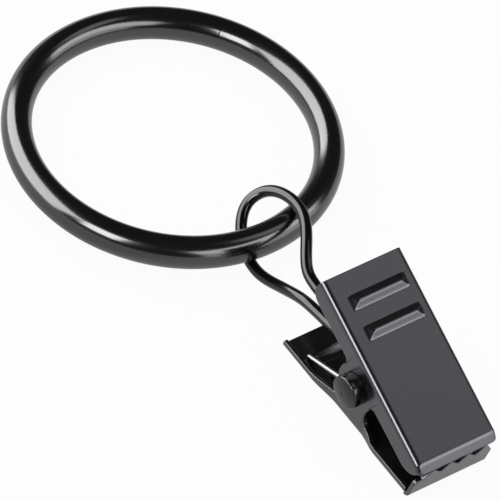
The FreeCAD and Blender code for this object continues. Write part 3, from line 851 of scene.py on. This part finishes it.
def spring_steel():
    """Drawn spring wire: dark steel with a faint, fine mottle in its colour, roughness and bump."""
    shader = Shader("spring_steel")
    place = shader.node("ShaderNodeTexCoord", None, None, "Object")
    fine = noise(shader, place, STEEL_SCALE, 3.0)
    colour = shader.node("ShaderNodeMix", {"data_type": "RGBA"},
                         {0: fine, 6: (0.12, 0.12, 0.125, 1.0), 7: (0.19, 0.19, 0.196, 1.0)}, 2)
    bump = shader.node("ShaderNodeBump", None, {"Strength": 0.2, "Distance": 0.00001, "Height": fine})
    shader.set(Base_Color=colour, Metallic=1.0, Roughness=0.16 + fine * 0.1, Normal=bump)
    return shader.material


def make_pieces():
    ring_finish = black_enamel("ring_enamel", level=0.0022, roughness=0.16, peel=0.12)
    wire_finish = black_enamel("wire_enamel", level=0.0025, roughness=0.12, peel=0.1, gloss=0.48)
    jaw_finish = black_enamel("jaw_enamel", level=0.006, roughness=0.2, peel=0.1, tint=(0.92, 0.91, 1.0, 1.0))
    rivet_finish = black_enamel("rivet_enamel", level=0.003, roughness=0.16, peel=0.15, gloss=0.45)
    steel = spring_steel()
    ring = make_piece("ring_rod", [ring_shell()], ring_finish)
    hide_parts("ring")
    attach(ring, "ring")
    eyelet = make_piece("eyelet_wire", [tube_shell(eyelet_line(), WIRE / 2, WIRE_SIDES)], wire_finish)
    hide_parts("eyelet")
    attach(eyelet, "eyelet")
    front = [(on_front_jaw(points), quads) for points, quads in front_jaw_shells()]
    front_jaw = make_piece("front_jaw_sheet", front, jaw_finish)
    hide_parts("front_jaw")
    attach(front_jaw, "front_jaw")
    back = [(on_back_jaw(points), quads) for points, quads in back_jaw_shells()]
    back_jaw = make_piece("back_jaw_sheet", back, jaw_finish)
    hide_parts("back_jaw")
    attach(back_jaw, "back_jaw")
    points, quads = rivet_shell()
    rivet = make_piece("rivet", [(on_front_jaw(points), quads)], rivet_finish)
    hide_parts("pivot_pin")
    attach(rivet, "back_jaw")
    line, inner, outer = spring_line()
    wire = SPRING_WIRE / 2
    for name, side in (("spring_right", 1), ("spring_left", -1)):
        mirrored = on_front_jaw(line * np.array([side, 1.0, 1.0]))
        spring = make_piece(name, [tube_shell(mirrored, wire, SPRING_SIDES)], steel)
        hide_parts("torsion_spring")
        coil_end = on_front_jaw(np.array([side * (outer - wire), 0.0, 0.0])) * MM
        coil_start = on_front_jaw(np.array([side * (inner + wire), 0.0, 0.0])) * MM
        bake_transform(spring)


def floor_finish():
    """White floor that shows as the background to the camera and in gloss, and keeps a faint shadow. In gloss
    its glow is dimmer to the left, a painted shade in the part's reflections.
    """
    shader = Shader("floor_white")
    shader.set(Base_Color=(0.8, 0.8, 0.8, 1.0), Roughness=0.9)
    path = shader.tree.nodes.new("ShaderNodeLightPath")
    camera = Link(shader, path.outputs["Is Camera Ray"])
    glossy = Link(shader, path.outputs["Is Glossy Ray"])
    through = Link(shader, path.outputs["Is Transmission Ray"])
    place = shader.node("ShaderNodeTexCoord", None, None, "Object")
    across = shader.node("ShaderNodeSeparateXYZ", None, {0: place})
    # Painted shade: in gloss the floor glows dimmer to the left of its shade edge, so the part's reflections
    # darken there
    painted_gloss_shade = shader.node("ShaderNodeMapRange", None, {
        0: across, 1: FLOOR_SHADE_EDGE[0], 2: FLOOR_SHADE_EDGE[1], 3: FLOOR_GLOSS_SHADE[0], 4: FLOOR_GLOSS_SHADE[1]})
    seen = camera * FLOOR_SEEN + glossy * painted_gloss_shade + through
    glow = shader.node("ShaderNodeEmission", None, {"Strength": 1.0})
    mix = shader.node("ShaderNodeMixShader", None, {0: seen, 2: glow})
    shader.tree.links.new(shader.principled.outputs[0], mix.socket.node.inputs[1])
    shader.tree.links.new(mix.socket, shader.tree.nodes["Material Output"].inputs["Surface"])
    return shader.material


def stage_mesh(name, points, quads, material):
    """Object of the stage from points in metres, with a material."""
    mesh = bpy.data.meshes.new(name)
    mesh.from_pydata(points.reshape(-1, 3).tolist(), [], quads.tolist())
    mesh.materials.append(material)
    made = bpy.data.objects.new(name, mesh)
    bpy.context.scene.collection.objects.link(made)
    return made


def make_stage():
    """Pale floor under the part, and the dark room round it, a half ball that shows in gloss alone."""
    side = np.array([-1.0, 1.0]) * FLOOR_SIZE
    x, y = np.meshgrid(side, side)
    stage_mesh("floor", np.stack([x, y, 0 * x + FLOOR * MM], axis=-1), grid_quads(2, 2), floor_finish())
    azimuth = np.linspace(0, 2 * np.pi, 48, endpoint=False)
    elevation = np.linspace(0, np.pi / 2 - 0.01, 16)[:, None]
    flat = np.cos(elevation) * ROOM_RADIUS
    points = np.stack([flat * np.cos(azimuth), flat * np.sin(azimuth),
                       np.sin(elevation) * ROOM_RADIUS + 0 * azimuth], axis=-1)
    shader = Shader("dark_room")
    glow = shader.node("ShaderNodeEmission", None, {"Strength": ROOM_LEVEL})
    shader.tree.links.new(glow.socket, shader.tree.nodes["Material Output"].inputs["Surface"])
    room = stage_mesh("dark_room", points, grid_quads(16, 48, False, True), shader.material)
    room.visible_camera = False
    room.visible_diffuse = False
    room.visible_transmission = False
    room.visible_shadow = False


def make_world():
    """White surroundings at strength 1 to the camera and in gloss, and a soft fill otherwise."""
    world = bpy.data.worlds.new("studio")
    bpy.context.scene.world = world
    world.use_nodes = True
    tree = world.node_tree
    tree.nodes.clear()
    path = tree.nodes.new("ShaderNodeLightPath")
    seen = tree.nodes.new("ShaderNodeMath")
    seen.operation = "MAXIMUM"
    tree.links.new(path.outputs["Is Camera Ray"], seen.inputs[0])
    either = tree.nodes.new("ShaderNodeMath")
    either.operation = "MAXIMUM"
    tree.links.new(path.outputs["Is Glossy Ray"], either.inputs[0])
    tree.links.new(path.outputs["Is Transmission Ray"], either.inputs[1])
    tree.links.new(either.outputs[0], seen.inputs[1])
    fill = tree.nodes.new("ShaderNodeBackground")
    fill.inputs["Color"].default_value = (1.0, 1.0, 1.0, 1.0)
    fill.inputs["Strength"].default_value = FILL_LEVEL
    white = tree.nodes.new("ShaderNodeBackground")
    white.inputs["Color"].default_value = (1.0, 1.0, 1.0, 1.0)
    white.inputs["Strength"].default_value = 1.0
    mix = tree.nodes.new("ShaderNodeMixShader")
    tree.links.new(seen.outputs[0], mix.inputs[0])
    tree.links.new(fill.outputs[0], mix.inputs[1])
    tree.links.new(white.outputs[0], mix.inputs[2])
    output = tree.nodes.new("ShaderNodeOutputWorld")
    tree.links.new(mix.outputs[0], output.inputs["Surface"])


def from_angles(azimuth, elevation):
    """Place of a lamp: azimuth is turned from +Y towards +X, elevation up from the floor."""
    a = math.radians(azimuth)
    e = math.radians(elevation)
    return Vector((math.sin(a) * math.cos(e), math.cos(a) * math.cos(e), math.sin(e))) * LAMP_DISTANCE


def soft_box(name, azimuth, elevation, width, height, radiance):
    """Rectangular lamp of even radiance that faces the part. Its power is radiance times pi times area."""
    lamp = bpy.data.lights.new(name, "AREA")
    lamp.shape = "RECTANGLE"
    lamp.size = width
    lamp.size_y = height
    lamp.energy = radiance * math.pi * width * height
    made = bpy.data.objects.new(name, lamp)
    place = from_angles(azimuth, elevation)
    made.location = place
    made.rotation_mode = "QUATERNION"
    made.rotation_quaternion = (-place).to_track_quat("-Z", "Y")
    bpy.context.scene.collection.objects.link(made)
    return made


def make_lights():
    """Soft boxes that show in gloss alone, and a plain lamp for the shadow."""
    for name, *values in SOFT_BOXES:
        box = soft_box(name, *values)
        box.visible_diffuse = False
    lamp = soft_box("shadow_lamp", *SHADOW_LAMP)
    lamp.visible_glossy = False


def make_camera():
    """Camera at the photograph's place, turned about its own line of sight."""
    data = bpy.data.cameras.new("camera")
    data.lens = CAMERA_LENS
    data.sensor_width = 36.0
    data.clip_start = 0.05
    camera = bpy.data.objects.new("camera", data)
    place = Vector(CAMERA_PLACE)
    sight = Vector(CAMERA_AIM) - place
    turn = sight.to_track_quat("-Z", "Y").to_matrix()
    roll = Matrix.Rotation(math.radians(CAMERA_ROLL), 3, -sight.normalized())
    camera.matrix_world = Matrix.Translation(place) @ (roll @ turn).to_4x4()
    bpy.context.scene.collection.objects.link(camera)
    bpy.context.scene.camera = camera


make_camera()
make_pieces()
make_stage()
make_world()
make_lights()
bpy.context.scene.view_settings.view_transform = "Standard"
